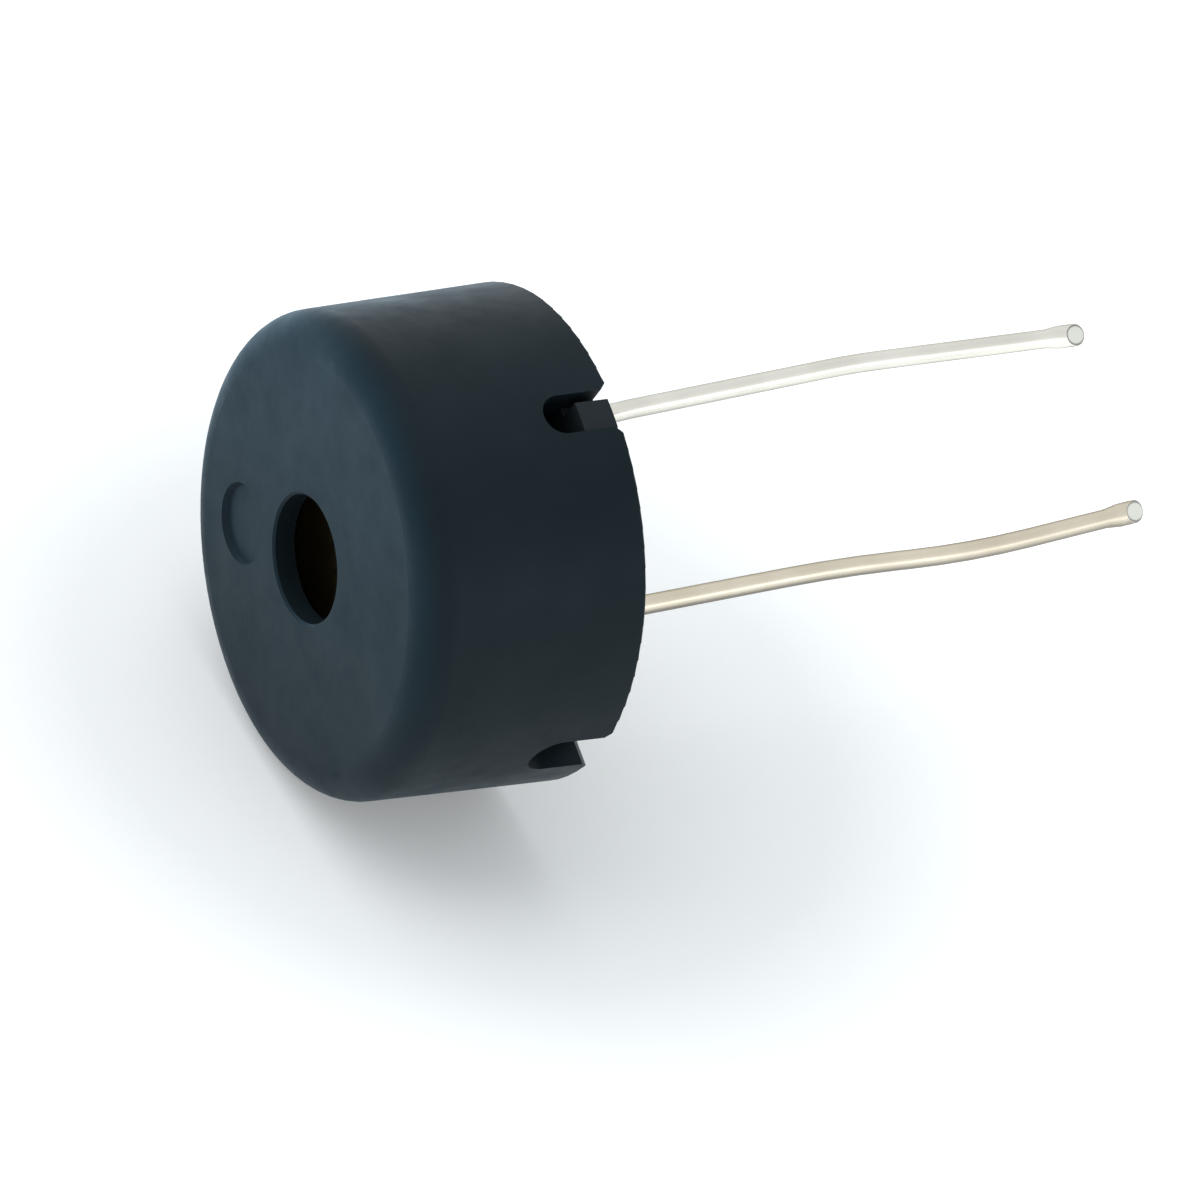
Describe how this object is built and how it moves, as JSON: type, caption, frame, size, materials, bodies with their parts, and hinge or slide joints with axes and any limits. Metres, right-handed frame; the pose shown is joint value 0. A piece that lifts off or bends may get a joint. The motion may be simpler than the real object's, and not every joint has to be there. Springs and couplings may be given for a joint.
{
  "type": "piezo buzzer",
  "caption": "Small round piezo buzzer with a sound hole in its face, a notched rim and long wire leads for a circuit board.",
  "frame": {"origin": "centre of the base plate's rear face, where the buzzer sits on its board", "axes": "+Z along the cap's axis towards the face with the sound hole; the leads leave the base at +X and -X and go down -Z"},
  "size_m": [0.0126, 0.0126, 0.0246],
  "materials": {
    "cap_plastic": "moulded charcoal plastic, satin with a fine texture",
    "base_plastic": "moulded charcoal plastic, matte",
    "brass_sheet": "rolled sheet",
    "piezo_ceramic": "fired, unglazed",
    "fired_silver": "matte fired silver film",
    "soft_glue": "cured silicone bead",
    "tinned_wire": "tinned drawn wire, warm silver",
    "spring_bronze": "rolled bronze strip",
    "solder": "bright solder"
  },
  "bodies": {
    "root": {"housing_cap": "cap_plastic", "base_plate": "base_plastic", "diaphragm_plate": "brass_sheet", "ceramic_disc": "piezo_ceramic", "silver_electrode": "fired_silver", "glue_ring": "soft_glue", "lead_ceramic": "tinned_wire", "lead_plate": "tinned_wire", "spring_ceramic": "spring_bronze", "spring_plate": "spring_bronze", "solder_ceramic": "solder", "solder_plate": "solder"}
  },
  "joints": []
}
